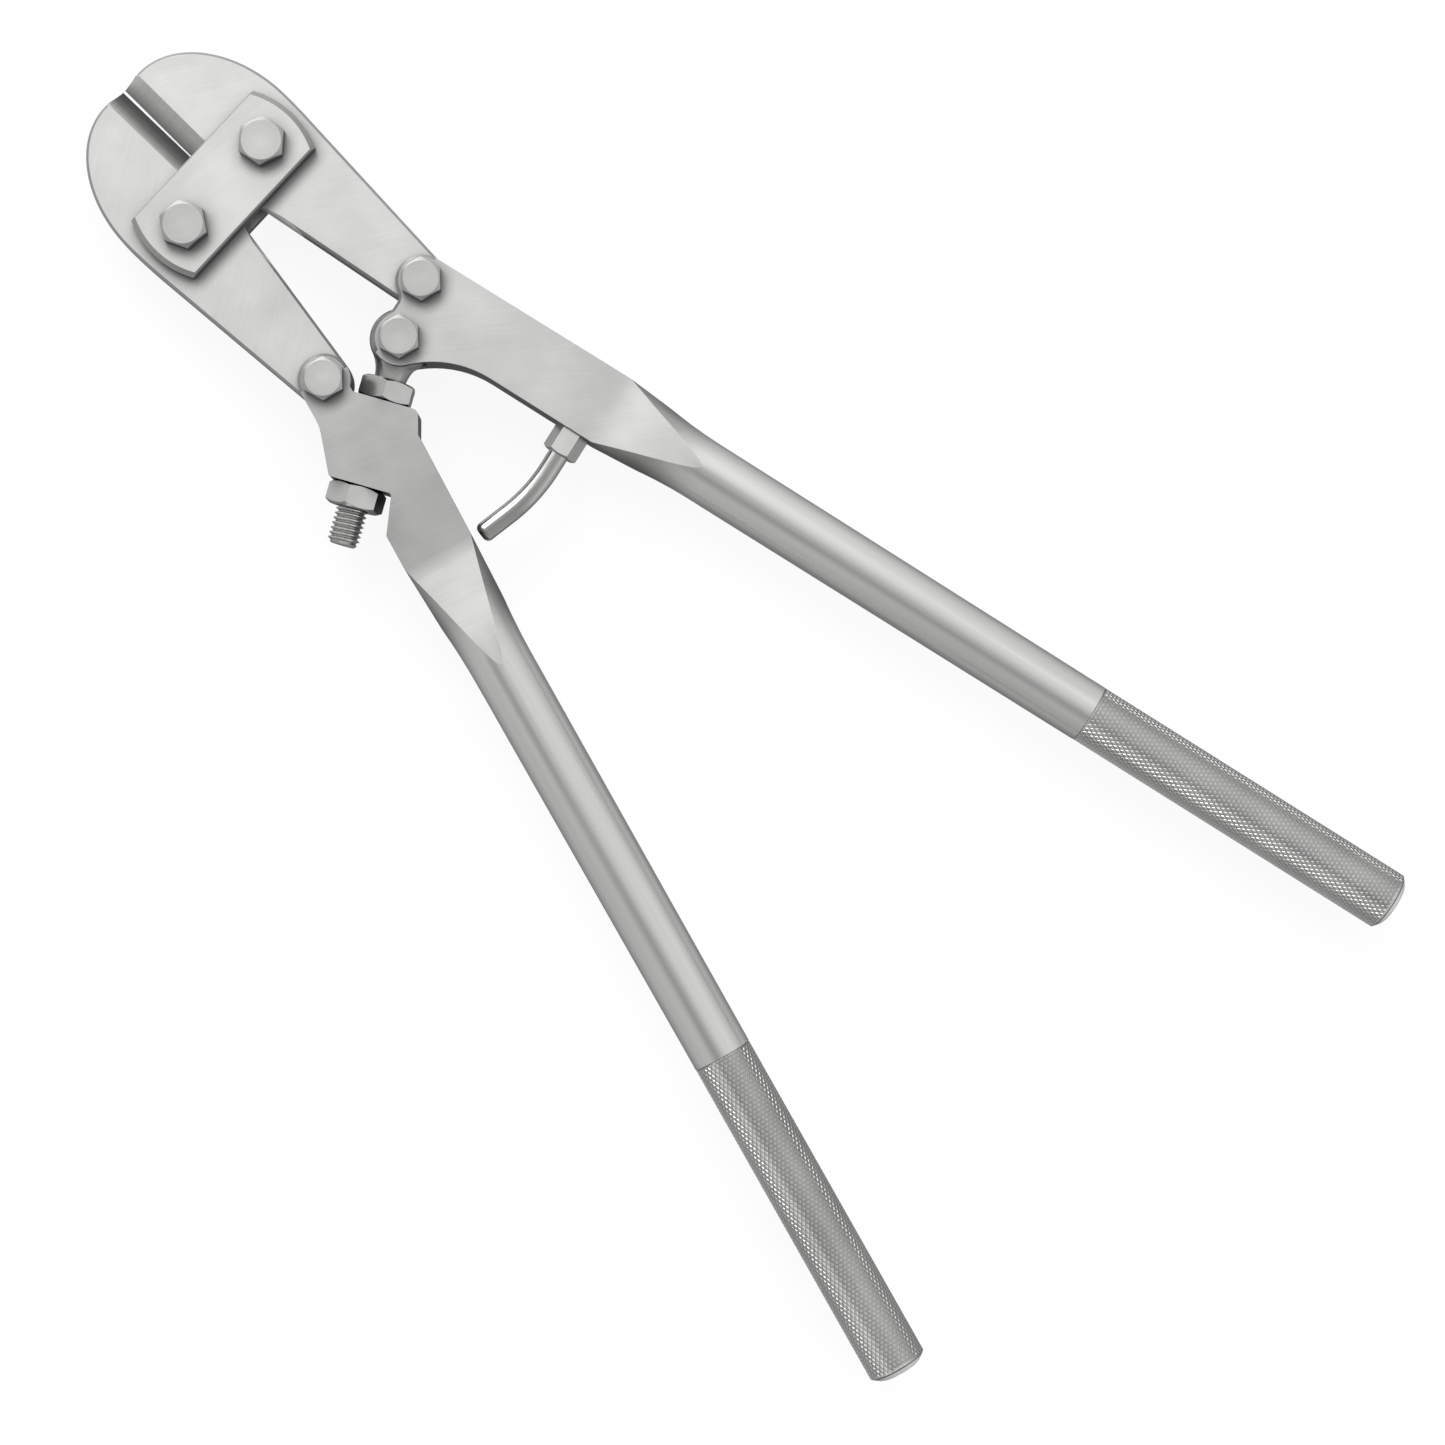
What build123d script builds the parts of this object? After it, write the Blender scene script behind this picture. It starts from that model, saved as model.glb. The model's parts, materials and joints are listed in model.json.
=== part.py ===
"""Stainless compound-action bolt and pin cutters, lying flat with the jaws almost closed.

Each physical piece is one solid in its own STEP file. Everything is worked out in the head's frame
first: X runs from the jaws to the handles as the line where the two jaws meet does, Y points to the
upper jaw, Z points to the front face, and the pieces' middle plane is Z = 0. Each handle has a frame
of its own, with its origin at its jaw-tail bolt and X along its rod. At the end every piece is moved
so that the origin lies under the middle of the whole tool's box.
"""
import os
from math import acos, atan2, cos, hypot, pi, radians, sin, sqrt, tan

from build123d import *

# ---------------------------------------------------------------- driving dimensions (mm, degrees)
# linkage
jaw_pivot_spacing = 28.3        # between the two jaw bolts
strap_rock = 1.6                # the straps stand this far off square to the jaws' line
tail_pivot_reach = 51.4         # from the jaw bolts' line back to the jaw-tail bolts
tail_pivot_spacing = 34.6       # between the two jaw-tail bolts at rest
link_setback = 6.1              # the link bolt lies this far behind the jaw-tail bolts
link_offset = 3.25              # and this far off the middle, towards the upper jaw
upper_handle_angle = 12.1       # handle rods against the head's line, at rest
lower_handle_angle = -16.3

# jaws
jaw_thickness = 8.0
jaw_nose_reach = 35.6           # from the jaw bolts' line forward to the flat nose
jaw_nose_half_width = 6.0       # the flat nose of one jaw
jaw_half_width = 27.4           # at the widest place
jaw_widest_at = 6.0             # which lies this far forward of the jaw bolts
shoulder_length = 10.0          # bend from the widest place into the straight tail
shoulder_drop = 0.35
jaw_tail_radius = 6.7
inner_edge_start = 10.2         # where the open gap between the tails begins
inner_edge_gap = 3.35           # half gap there
meeting_line = -0.4             # the jaws meet this far off the middle between their bolts
edge_gap_nose = 0.34            # half gap between the cutting edges at the nose
edge_gap_heel = 0.07            # and at the heel, where the jaws roll on each other
edge_land = 0.15                # half width of the blunt land along the cutting edge
bevel_width = 4.9               # ground bevel, measured on the face
bevel_hollow = 0.35             # depth of its hollow
bevel_runout = 7.0              # the bevel ends this far forward of the jaw bolts
jaw_chamfer = 0.7

# straps
strap_thickness = 4.0
strap_front = 10.8              # from the jaw bolts' line to the strap's front edge
strap_back = 10.1
strap_half_length = 22.1        # to the corners
strap_end_bulge = 2.5
strap_side_chamfer = 0.45
strap_end_chamfer = 1.25

# handles
plate_thickness = 13.0
plate_half_width = 9.3
upper_plate_end = 57.0          # the flat is full width up to here
lower_plate_end = 51.0
tongue_end = 84.0               # and runs out on the rod here
plate_chamfer = 0.8
tongue_bend = 2.4               # the bend's sharp corner lies this far behind the full width
tongue_bend_radius = 70.0
tongue_overshoot = 0.05         # the tongue's ramp ends this much above the crown
tongue_flare_reach = 1.5        # the flare's arc, in lengths of the tongue
outline_margin = 0.2            # the flat outline clears the turned rod by this much
rod_diameter = 15.8
rod_end_diameter = 15.2         # where the grip begins
handle_lug_radius = 6.6
lug_shoulder = 5.1              # height on the lower handle's lug at which its near face begins
link_lug_radius = 6.9
upper_rod_offset = -2.3         # the rod's axis beside the jaw-tail bolt
lower_rod_offset = 3.6
upper_grip_start = 198.0
lower_grip_start = 194.5
web_edge = -2.3                 # front edge of the web between the upper handle's two lugs
web_fillet = 3.0
crotch_fillet = 27.0            # behind the link lug
block_shoulder = (23.3, 13.6)   # where the lower handle's block narrows into its plate
block_fillet = 1.8
outer_waist = 9.5               # the lower handle's outer side is straight up to here
waist_fillet = 12.0
notch_fillet = 0.8
notch_wall_length = 10.6
notch_wall_angle = -36.0

# grips
grip_length = 90.0
grip_diameter = 15.2
grip_end_chamfer = 1.9
grip_front_chamfer = 0.3
spigot_diameter = 9.0
spigot_length = 30.0
spigot_clearance = 0.03

# adjusting screw, its nuts and the block that they clamp, along the screw from the link bolt
screw_angle = -45.5             # against the lower rod's axis
screw_diameter = 8.0
screw_end_chamfer = 1.0
screw_nut_flats = 13.0
eye_radius = 7.7
neck_start = 4.2                # the neck flares from the shank to the eye
neck_end = 10.3
neck_flare = 2.6
front_nut_thickness = 5.6
rear_nut_thickness = 5.8
block_near = 16.0
block_far = 37.8
block_near_left = 7.5           # the corners of both faces, beside the screw
block_near_right = 9.4
block_far_left = 7.3
block_far_right = 8.8
screw_free_end = 9.5            # thread beyond the rear nut

# stop pin
stop_pin_at = 51.3              # along the upper handle
stop_hex_flats = 8.0
stop_hex_length = 6.6
stop_pin_diameter = 5.2
stop_pin_straight = 4.0
stop_pin_bend_radius = 44.0
stop_pin_bend = 20.0
stop_pin_end = 8.8
stop_pin_round = 1.6
stop_stud_diameter = 5.0
stop_stud_length = 6.0

# bolts
jaw_bolt_diameter = 7.0
jaw_bolt_flats = 10.7
jaw_bolt_head = 4.1
handle_bolt_diameter = 6.0
handle_bolt_flats = 9.6
handle_bolt_head = 3.9
nut_thickness = 4.4
bolt_point = 0.9                # thread beyond the nut
bolt_point_chamfer = 0.6
hex_face_ratio = 0.93           # flat disc on a head, against the width across flats
hex_chamfer_angle = 30.0

# clearances
running_clearance = 0.05        # radial, at each pivot
thread_clearance = 0.03         # radial, screws in nuts, straps and handles
side_clearance = 0.05           # between a jaw and a strap, and between a nut and the block
fork_clearance = 0.1            # each side of a jaw tail or the eye in its fork
open_pivot_clearance = 0.55     # radial, where the upper jaw's tail rides on the upper handle's bolt
slot_clearance = 1.0            # round a jaw tail or the eye in its fork
shank_clearance = 0.1           # radial, adjusting screw in the block's bore

# ---------------------------------------------------------------- worked-out places
half_pivot = jaw_pivot_spacing / 2
half_tail = tail_pivot_spacing / 2
upper_tail_pivot = (tail_pivot_reach, half_tail)
lower_tail_pivot = (tail_pivot_reach, -half_tail)
link_pivot = (tail_pivot_reach + link_setback, link_offset)

jaw_face = jaw_thickness / 2
strap_inner_face = jaw_face + side_clearance
strap_face = strap_inner_face + strap_thickness
plate_face = plate_thickness / 2
fork_face = jaw_face + fork_clearance
rod_radius = rod_diameter / 2
rod_end_radius = rod_end_diameter / 2
screw_radius = screw_diameter / 2
jaw_bolt_radius = jaw_bolt_diameter / 2
handle_bolt_radius = handle_bolt_diameter / 2
tail_slot_radius = jaw_tail_radius + slot_clearance
eye_slot_radius = eye_radius + slot_clearance
far = 60.0                      # longer than any cut has to be
near = 0.01                     # for telling edges apart


def turned(x, y, angle):
    a = radians(angle)
    return (x * cos(a) - y * sin(a), x * sin(a) + y * cos(a))


def in_handle_frame(point, pivot, angle):
    return turned(point[0] - pivot[0], point[1] - pivot[1], -angle)


upper_jaw_pivot = turned(0, half_pivot, strap_rock)
lower_jaw_pivot = turned(0, -half_pivot, strap_rock)
link_in_upper = in_handle_frame(link_pivot, upper_tail_pivot, upper_handle_angle)
link_in_lower = in_handle_frame(link_pivot, lower_tail_pivot, lower_handle_angle)


# ---------------------------------------------------------------- shared shapes
def from_upper_handle(part):
    return Pos(*upper_tail_pivot) * Rot(0, 0, upper_handle_angle) * part


def from_lower_handle(part):
    return Pos(*lower_tail_pivot) * Rot(0, 0, lower_handle_angle) * part


def slab(sketch, half_thickness):
    return extrude(sketch, half_thickness, both=True)


def through_hole(at, radius):
    return Pos(*at) * Cylinder(radius, far)


def tangent_point(start, centre, radius, side):
    """Where a line from start touches the circle, on its left (side = 1) or right (side = -1)."""
    dx = centre[0] - start[0]
    dy = centre[1] - start[1]
    towards_start = atan2(-dy, -dx)
    a = towards_start - side * acos(radius / hypot(dx, dy))
    return (centre[0] + radius * cos(a), centre[1] + radius * sin(a))


def rounded(sketch, corner, radius):
    """The sketch with the corner nearest to the given point rounded."""
    vertex = sketch.vertices().sort_by_distance((corner[0], corner[1], 0))[0]
    return fillet(vertex, radius)


def face_edges(part, face):
    """The edges that lie in the plane Z = face."""
    return part.edges().filter_by(lambda edge: abs(edge.bounding_box().min.Z - face) < near
                                  and abs(edge.bounding_box().max.Z - face) < near)


def hex_prism(flats, length, chamfered_bottom=False):
    """A hexagonal prism on the XY plane whose corners are turned off at the top."""
    disc_radius = flats * hex_face_ratio / 2
    corner_radius = flats / sqrt(3)
    width = corner_radius - disc_radius
    blank = Pos(0, 0, length / 2) * Cylinder(corner_radius, length)
    edges = blank.edges().filter_by(GeomType.CIRCLE).sort_by(Axis.Z)
    blank = chamfer(edges[-1], width * tan(radians(hex_chamfer_angle)), width)
    if chamfered_bottom:
        edge = blank.edges().filter_by(GeomType.CIRCLE).sort_by(Axis.Z)[0]
        blank = chamfer(edge, width * tan(radians(hex_chamfer_angle)), width)
    return blank & extrude(RegularPolygon(flats / 2, 6, major_radius=False), length)


# ---------------------------------------------------------------- bolts and nuts
def pivot_bolt(radius, flats, head, seat, turn):
    """A hex bolt from the front seat down to its point behind the nut."""
    grip = 2 * seat + nut_thickness + bolt_point
    shank = Pos(0, 0, seat - grip / 2) * Cylinder(radius, grip)
    shank = chamfer(shank.edges().filter_by(GeomType.CIRCLE).sort_by(Axis.Z)[0], bolt_point_chamfer)
    return shank + Pos(0, 0, seat) * Rot(0, 0, turn) * hex_prism(flats, head)


def pivot_nut(radius, flats, seat, turn):
    nut = Pos(0, 0, -seat) * Rot(180, 0, turn) * hex_prism(flats, nut_thickness)
    return nut - Cylinder(radius + thread_clearance, far)


def jaw_bolt(turn):
    return pivot_bolt(jaw_bolt_radius, jaw_bolt_flats, jaw_bolt_head, strap_face, turn)


def jaw_nut(turn):
    return pivot_nut(jaw_bolt_radius, jaw_bolt_flats, strap_face, turn)


def handle_bolt(turn):
    return pivot_bolt(handle_bolt_radius, handle_bolt_flats, handle_bolt_head, plate_face, turn)


def handle_nut(turn):
    return pivot_nut(handle_bolt_radius, handle_bolt_flats, plate_face, turn)


# ---------------------------------------------------------------- jaws
def bevel_cutter():
    """The ground-away space beside the front half of the upper jaw's cutting edge."""
    length = jaw_nose_reach - bevel_runout
    slope = hypot(bevel_width, jaw_face - edge_land)
    into_metal = ((jaw_face - edge_land) / slope, -bevel_width / slope)
    hollow = (bevel_width / 2 + into_metal[0] * bevel_hollow,
              (jaw_face + edge_land) / 2 + into_metal[1] * bevel_hollow)
    outline = make_face([
        ThreePointArc((0, edge_land), hollow, (bevel_width, jaw_face)),
        Polyline((bevel_width, jaw_face), (bevel_width, far), (-far, far), (-far, edge_land), (0, edge_land)),
    ])
    taper = atan2(edge_gap_nose - edge_gap_heel, jaw_nose_reach)
    cutter = extrude(Plane.YZ * outline, length + far)
    nose = Pos(-jaw_nose_reach, edge_gap_nose) * Rot(0, 0, -taper * 180 / pi)
    return nose * Pos(-far, 0) * cutter


def upper_jaw(pivot, tail_clearance, meeting):
    """The upper jaw, whose cutting edge lies at mid-thickness, beside the line Y = meeting."""
    nose = -jaw_nose_reach
    nose_side = meeting + jaw_nose_half_width
    widest = (-jaw_widest_at, meeting + jaw_half_width)
    shoulder = (widest[0] + shoulder_length, widest[1] - shoulder_drop)
    outer = tangent_point(shoulder, upper_tail_pivot, jaw_tail_radius, 1)
    inner_start = (inner_edge_start, meeting + inner_edge_gap)
    inner = tangent_point(inner_start, upper_tail_pivot, jaw_tail_radius, -1)
    tail_end = (tail_pivot_reach + jaw_tail_radius, half_tail)
    outline = make_face([
        Line((nose, meeting + edge_gap_nose), (nose, nose_side)),
        EllipticalCenterArc((widest[0], nose_side), jaw_nose_reach - jaw_widest_at,
                            jaw_half_width - jaw_nose_half_width, start_angle=90, arc_size=90),
        TangentArc(widest, shoulder, tangent=(1, 0)),
        Line(shoulder, outer),
        ThreePointArc(outer, tail_end, inner),
        Polyline(inner, inner_start, (0, meeting + edge_gap_heel), (nose, meeting + edge_gap_nose)),
    ])
    body = slab(outline, jaw_face)
    rim = face_edges(body, jaw_face) + face_edges(body, -jaw_face)
    body = chamfer([edge for edge in rim if is_outer_rim(edge, inner_start[1])], jaw_chamfer)
    cutter = Pos(0, meeting) * bevel_cutter()
    body -= cutter
    body -= mirror(cutter, Plane.XY)
    body -= through_hole(pivot, jaw_bolt_radius + running_clearance)
    return body - through_hole(upper_tail_pivot, handle_bolt_radius + tail_clearance)


def is_outer_rim(edge, relief_top):
    """Whether a rim edge of the upper jaw is neither the nose, the cutting edge nor the relief behind it."""
    return edge.bounding_box().max.Y > relief_top + near and edge.center().X > near - jaw_nose_reach


# ---------------------------------------------------------------- straps
def strap():
    """The front strap, with its outer face and edges bevelled."""
    corners = [(-strap_front, strap_half_length), (strap_back, strap_half_length)]
    middle = (strap_back - strap_front) / 2
    outline = make_face([
        ThreePointArc(corners[0], (middle, strap_half_length + strap_end_bulge), corners[1]),
        Line(corners[1], (strap_back, -strap_half_length)),
        ThreePointArc((strap_back, -strap_half_length), (middle, -strap_half_length - strap_end_bulge),
                      (-strap_front, -strap_half_length)),
        Line((-strap_front, -strap_half_length), corners[0]),
    ])
    body = Pos(0, 0, strap_inner_face) * extrude(outline, strap_thickness)
    ends = face_edges(body, strap_face).filter_by(GeomType.CIRCLE)
    body = chamfer(ends, strap_end_chamfer)
    sides = face_edges(body, strap_face).filter_by(GeomType.LINE)
    body = chamfer([e for e in sides if e.length > jaw_pivot_spacing], strap_side_chamfer)
    for pivot_y in (half_pivot, -half_pivot):
        body -= through_hole((0, pivot_y), jaw_bolt_radius + thread_clearance)
    return Rot(0, 0, strap_rock) * body


# ---------------------------------------------------------------- handles
def round_envelope(axis_y, plate_end, grip_start):
    """The turned shape that the handle is cut to: a rod that flares out of the way of the plate."""
    run = tongue_end - plate_end
    rise = hypot(plate_half_width, plate_face) - rod_radius
    flare_radius = (run * run + rise * rise) / (2 * rise)
    flare_run = tongue_flare_reach * run
    flare_start = (tongue_end - flare_run, rod_radius + flare_radius - sqrt(flare_radius**2 - flare_run**2))
    mid_run = flare_run / 2
    flare_middle = (tongue_end - mid_run, rod_radius + flare_radius - sqrt(flare_radius**2 - mid_run**2))
    profile = make_face([
        Polyline((-far, 0), (-far, far), (flare_start[0], far), flare_start),
        ThreePointArc(flare_start, flare_middle, (tongue_end, rod_radius)),
        Polyline((tongue_end, rod_radius), (grip_start, rod_end_radius), (grip_start, 0), (-far, 0)),
    ])
    return Pos(0, axis_y) * revolve(profile, Axis.X)


def tongue_envelope(plate_end, grip_start):
    """The space between the two flats, which bend up to the rod's crown, and all of the rod."""
    crown = rod_radius + tongue_overshoot
    bend = plate_end + tongue_bend
    side = make_face(Polyline(
        (0, -plate_face), (bend, -plate_face), (tongue_end, -crown), (tongue_end, -far), (grip_start, -far),
        (grip_start, far), (tongue_end, far), (tongue_end, crown), (bend, plate_face), (0, plate_face),
        close=True))
    side = rounded(side, (bend, plate_face), tongue_bend_radius)
    side = rounded(side, (bend, -plate_face), tongue_bend_radius)
    return extrude(Plane.XZ * side, far, both=True)


def handle_blank(outline, axis_y, plate_end, grip_start):
    """A handle: its chamfered plate, the round rod and the tongue between them, with the grip's spigot."""
    plate = slab(outline, plate_face)
    plate = chamfer(face_edges(plate, plate_face) + face_edges(plate, -plate_face), plate_chamfer)
    rod = slab(outline, rod_diameter) & tongue_envelope(plate_end, grip_start)
    blank = (plate + rod) & round_envelope(axis_y, plate_end, grip_start)
    middle = grip_start + spigot_length / 2
    return blank + Pos(middle, axis_y) * Rot(0, 90, 0) * Cylinder(spigot_diameter / 2, spigot_length)


def rod_outline(axis_y, plate_end, grip_start):
    """The plate's straight part and the rod, seen from the front."""
    waist = rod_radius + outline_margin
    return make_face(Polyline(
        (plate_end, axis_y - plate_half_width), (tongue_end, axis_y - waist), (grip_start, axis_y - waist),
        (grip_start, axis_y + waist), (tongue_end, axis_y + waist), (plate_end, axis_y + plate_half_width),
        close=True))


def upper_handle():
    axis_y = upper_rod_offset
    top = axis_y + plate_half_width
    bottom = axis_y - plate_half_width
    lug_top = tangent_point((upper_plate_end, top), (0, 0), handle_lug_radius, -1)
    link_x, link_y = link_in_upper
    crotch = (link_x + sqrt(link_lug_radius**2 - (bottom - link_y)**2), bottom)
    plate = make_face(Polyline(
        lug_top, (upper_plate_end, top), (upper_plate_end, bottom), (link_x, bottom), (link_x, link_y),
        (web_edge, link_y), (web_edge, 0), (0, 0), close=True))
    outline = plate + Circle(handle_lug_radius) + Pos(link_x, link_y) * Circle(link_lug_radius)
    outline += rod_outline(axis_y, upper_plate_end, upper_grip_start)
    web_top = (web_edge, -sqrt(handle_lug_radius**2 - web_edge**2))
    web_bottom = (web_edge, link_y + sqrt(link_lug_radius**2 - (web_edge - link_x)**2))
    outline = rounded(outline, crotch, crotch_fillet)
    outline = rounded(outline, web_top, web_fillet)
    outline = rounded(outline, web_bottom, web_fillet)
    handle = handle_blank(outline, axis_y, upper_plate_end, upper_grip_start)
    slot = Circle(tail_slot_radius) + Pos(link_x, link_y) * Circle(eye_slot_radius)
    slot += make_face(Polyline((-far, 0), (0, 0), (link_x, link_y), (-far, link_y), close=True))
    handle -= slab(slot, fork_face)
    handle -= through_hole((0, 0), handle_bolt_radius + thread_clearance)
    handle -= through_hole(link_in_upper, handle_bolt_radius + thread_clearance)
    return handle - Pos(stop_pin_at, bottom) * Rot(90, 0, 0) * Cylinder(
        stop_stud_diameter / 2 + thread_clearance, 2 * (stop_stud_length + thread_clearance))


def along_screw(distance, beside):
    """A point of the lower handle's frame, measured along and beside the adjusting screw."""
    dx, dy = turned(distance, beside, screw_angle)
    return (link_in_lower[0] + dx, link_in_lower[1] + dy)


def on_screw(part):
    """A piece built about +X, placed on the adjusting screw in the head's frame."""
    return from_lower_handle(Pos(*link_in_lower) * Rot(0, 0, screw_angle) * part)


def lower_handle():
    axis_y = lower_rod_offset
    top = axis_y + plate_half_width
    bottom = axis_y - plate_half_width
    notch = along_screw(block_far, block_far_right)
    wall = turned(notch_wall_length, 0, notch_wall_angle)
    notch_end = (notch[0] + wall[0], min(notch[1] + wall[1], bottom + notch_fillet))
    outer_corner = along_screw(block_far, -block_far_left)
    waist = (outer_waist, -handle_lug_radius)
    near_right = along_screw(block_near, block_near_right)
    near_left = along_screw(block_near, -block_near_left)
    plate = make_face(Polyline(
        (0, -handle_lug_radius), waist, outer_corner, notch, notch_end, (lower_plate_end, bottom),
        (lower_plate_end, top), block_shoulder, near_right, near_left, (0, lug_shoulder), close=True))
    outline = plate + Circle(handle_lug_radius) + rod_outline(axis_y, lower_plate_end, lower_grip_start)
    outline = rounded(outline, near_right, block_fillet)
    outline = rounded(outline, waist, waist_fillet)
    for corner in (outer_corner, notch, notch_end):
        outline = rounded(outline, corner, notch_fillet)
    handle = handle_blank(outline, axis_y, lower_plate_end, lower_grip_start)
    mouth = Polyline((-far, -far), (0, -tail_slot_radius), (0, tail_slot_radius), (-far, far), close=True)
    slot = Circle(tail_slot_radius) + make_face(mouth)
    handle -= slab(slot, fork_face)
    handle -= through_hole((0, 0), handle_bolt_radius + thread_clearance)
    bore = Rot(0, 90, 0) * Cylinder(screw_radius + shank_clearance, 2 * far)
    return handle - Pos(*along_screw(block_far, 0)) * Rot(0, 0, screw_angle) * bore


def grip(axis_y, grip_start):
    """A knurled grip, drawn plain at the diameter of its crests, bored for the rod's spigot."""
    body = Pos(grip_length / 2, 0) * Rot(0, 90, 0) * Cylinder(grip_diameter / 2, grip_length)
    rims = body.edges().filter_by(GeomType.CIRCLE).sort_by(Axis.X)
    body = chamfer(rims[-1], grip_end_chamfer)
    body = chamfer(body.edges().filter_by(GeomType.CIRCLE).sort_by(Axis.X)[0], grip_front_chamfer)
    depth = spigot_length + spigot_clearance
    body -= Pos(depth / 2, 0) * Rot(0, 90, 0) * Cylinder(spigot_diameter / 2 + spigot_clearance, depth)
    return Pos(grip_start, axis_y) * body


# ---------------------------------------------------------------- adjusting screw and its nuts
def adjusting_eye_bolt():
    """The eye round the link bolt and the screw that runs through the lower handle's block."""
    length = block_far + side_clearance + rear_nut_thickness + screw_free_end
    neck_middle = (neck_start + neck_end) / 2
    profile = make_face([
        Polyline((0, 0), (0, screw_radius), (neck_start, screw_radius + neck_flare)),
        ThreePointArc((neck_start, screw_radius + neck_flare), (neck_middle, screw_radius + neck_flare / 4),
                      (neck_end, screw_radius)),
        Polyline((neck_end, screw_radius), (length - screw_end_chamfer, screw_radius),
                 (length, screw_radius - screw_end_chamfer), (length, 0), (0, 0)),
    ])
    body = revolve(profile, Axis.X) & Box(4 * far, far, jaw_thickness)
    eye = Cylinder(eye_radius, jaw_thickness)
    eye = chamfer(eye.edges().filter_by(GeomType.CIRCLE), plate_chamfer)
    return body + eye - Cylinder(handle_bolt_radius + running_clearance, far)


def adjusting_nut(start, thickness, turn):
    nut = hex_prism(screw_nut_flats, thickness, chamfered_bottom=True)
    nut -= Cylinder(screw_radius + thread_clearance, far)
    return on_screw(Pos(start, 0) * Rot(0, 90, 0) * Rot(0, 0, turn) * nut)


# ---------------------------------------------------------------- stop pin
def stop_pin():
    """The bent pin below the upper handle, with its own hexagon and a stud into the plate's edge."""
    bottom = upper_rod_offset - plate_half_width
    radius = stop_pin_diameter / 2
    bend_start = (0, -stop_hex_length - stop_pin_straight)
    dx, dy = turned(0, -stop_pin_end, -stop_pin_bend)
    arc = radians(stop_pin_bend)
    bend_end = (-stop_pin_bend_radius * (1 - cos(arc)), bend_start[1] - stop_pin_bend_radius * sin(arc))
    path = Line((0, -stop_hex_length), bend_start)
    path += TangentArc(bend_start, bend_end, tangent=(0, -1))
    path += Line(bend_end, (bend_end[0] + dx, bend_end[1] + dy))
    rod = sweep(Plane((0, -stop_hex_length, 0), z_dir=(0, -1, 0)) * Circle(radius), path=path)
    tip = rod.faces().sort_by(Axis.Y)[0]
    rod = fillet(tip.edges(), stop_pin_round)
    hexagon = Rot(90, 0, 0) * hex_prism(stop_hex_flats, stop_hex_length)
    stud = Rot(90, 0, 0) * Cylinder(stop_stud_diameter / 2, stop_stud_length,
                                    align=(Align.CENTER, Align.CENTER, Align.MAX))
    return Pos(stop_pin_at, bottom) * (hexagon + rod + stud)


# ---------------------------------------------------------------- assembly
def assembly():
    """Every piece by name, in the head's frame."""
    front_strap = strap()
    mirrored_pivot = (lower_jaw_pivot[0], -lower_jaw_pivot[1])
    lower_jaw = mirror(upper_jaw(mirrored_pivot, running_clearance, -meeting_line), Plane.XZ)
    front_nut_start = block_near - side_clearance - front_nut_thickness
    rear_nut_start = block_far + side_clearance
    return {
        "front_strap": front_strap,
        "back_strap": mirror(front_strap, Plane.XY),
        "upper_jaw": upper_jaw(upper_jaw_pivot, open_pivot_clearance, meeting_line),
        "lower_jaw": lower_jaw,
        "upper_jaw_bolt": Pos(*upper_jaw_pivot) * jaw_bolt(turn=10),
        "lower_jaw_bolt": Pos(*lower_jaw_pivot) * jaw_bolt(turn=25),
        "upper_jaw_nut": Pos(*upper_jaw_pivot) * jaw_nut(turn=20),
        "lower_jaw_nut": Pos(*lower_jaw_pivot) * jaw_nut(turn=5),
        "upper_handle": from_upper_handle(upper_handle()),
        "upper_grip": from_upper_handle(grip(upper_rod_offset, upper_grip_start)),
        "upper_handle_bolt": Pos(*upper_tail_pivot) * handle_bolt(turn=15),
        "upper_handle_nut": Pos(*upper_tail_pivot) * handle_nut(turn=0),
        "link_bolt": Pos(*link_pivot) * handle_bolt(turn=15),
        "link_nut": Pos(*link_pivot) * handle_nut(turn=25),
        "stop_pin": from_upper_handle(stop_pin()),
        "lower_handle": from_lower_handle(lower_handle()),
        "lower_grip": from_lower_handle(grip(lower_rod_offset, lower_grip_start)),
        "lower_handle_bolt": Pos(*lower_tail_pivot) * handle_bolt(turn=15),
        "lower_handle_nut": Pos(*lower_tail_pivot) * handle_nut(turn=10),
        "adjusting_eye_bolt": on_screw(adjusting_eye_bolt()),
        "front_adjusting_nut": adjusting_nut(front_nut_start, front_nut_thickness, turn=0),
        "rear_adjusting_nut": adjusting_nut(rear_nut_start, rear_nut_thickness, turn=12),
    }


def main():
    pieces = {name: piece.solid() for name, piece in assembly().items()}
    boxes = [piece.bounding_box() for piece in pieces.values()]
    middle_x = (min(b.min.X for b in boxes) + max(b.max.X for b in boxes)) / 2
    middle_y = (min(b.min.Y for b in boxes) + max(b.max.Y for b in boxes)) / 2
    bottom = min(b.min.Z for b in boxes)
    os.makedirs("parts", exist_ok=True)
    for name, piece in pieces.items():
        export_step(piece.moved(Pos(-middle_x, -middle_y, -bottom)), os.path.join("parts", name + ".step"))
    print("origin in the head's frame:", round(middle_x, 4), round(middle_y, 4), round(bottom, 4))


main()
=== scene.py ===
"""Looks for the bolt cutters: steel finishes, knurled grips and a threaded adjusting screw on the frame."""
import json
from math import atan2, cos, pi, radians, sin

import bmesh
import bpy
from mathutils import Matrix, Vector


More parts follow.
